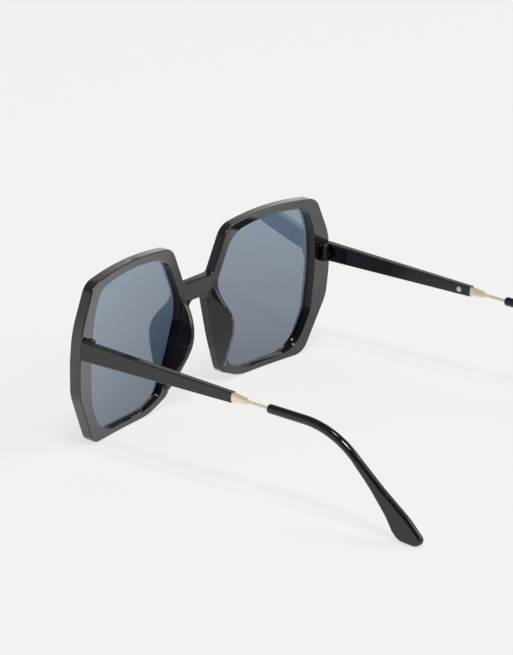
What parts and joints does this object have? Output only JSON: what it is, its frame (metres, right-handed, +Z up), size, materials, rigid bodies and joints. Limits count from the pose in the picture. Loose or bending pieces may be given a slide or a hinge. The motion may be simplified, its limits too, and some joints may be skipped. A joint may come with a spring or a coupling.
{
  "type": "oversized sunglasses",
  "caption": "Oversized six-sided sunglasses with a bowed moulded front, smoke lenses, barrel hinges and folding temples with a gilt wire section and paddle ear tips.",
  "frame": {"origin": "centre of the footprint on the table, under the middle of the opened sunglasses", "axes": "+X towards the wearer's left, +Y from the front towards the ear tips, +Z up; the part stands on its rims and ear tips"},
  "size_m": [0.1442, 0.15, 0.0611],
  "materials": {
    "frame_black": "satin gloss black",
    "tip_black": "polished black",
    "lens_smoke": "smoke tint",
    "hinge_steel": "dark nickel",
    "screw_steel": "bright",
    "gold_metal": "pale gold plate"
  },
  "bodies": {
    "front": {"front_frame": "frame_black", "lens_left": "lens_smoke", "lens_right": "lens_smoke", "front_hinge_left": "hinge_steel", "front_hinge_right": "hinge_steel", "hinge_screw_left": "screw_steel", "hinge_screw_right": "screw_steel"},
    "temple_left": {"temple_hinge_left": "hinge_steel", "temple_bar_left": "frame_black", "tang_pin_left": "hinge_steel", "ferrule_left": "gold_metal", "core_wire_left": "gold_metal", "ear_tip_left": "tip_black"},
    "temple_right": {"temple_hinge_right": "hinge_steel", "temple_bar_right": "frame_black", "tang_pin_right": "hinge_steel", "ferrule_right": "gold_metal", "core_wire_right": "gold_metal", "ear_tip_right": "tip_black"}
  },
  "joints": [
    {"name": "temple_left_fold", "type": "hinge", "parent": "front", "child": "temple_left", "pos_m": [0.06725, -0.06354, 0.03764], "axis": [0, 0.0453, 0.999], "range_deg": [0, 90]},
    {"name": "temple_right_fold", "type": "hinge", "parent": "front", "child": "temple_right", "pos_m": [-0.06725, -0.06354, 0.03764], "axis": [0, -0.0453, -0.999], "range_deg": [0, 82]}
  ]
}
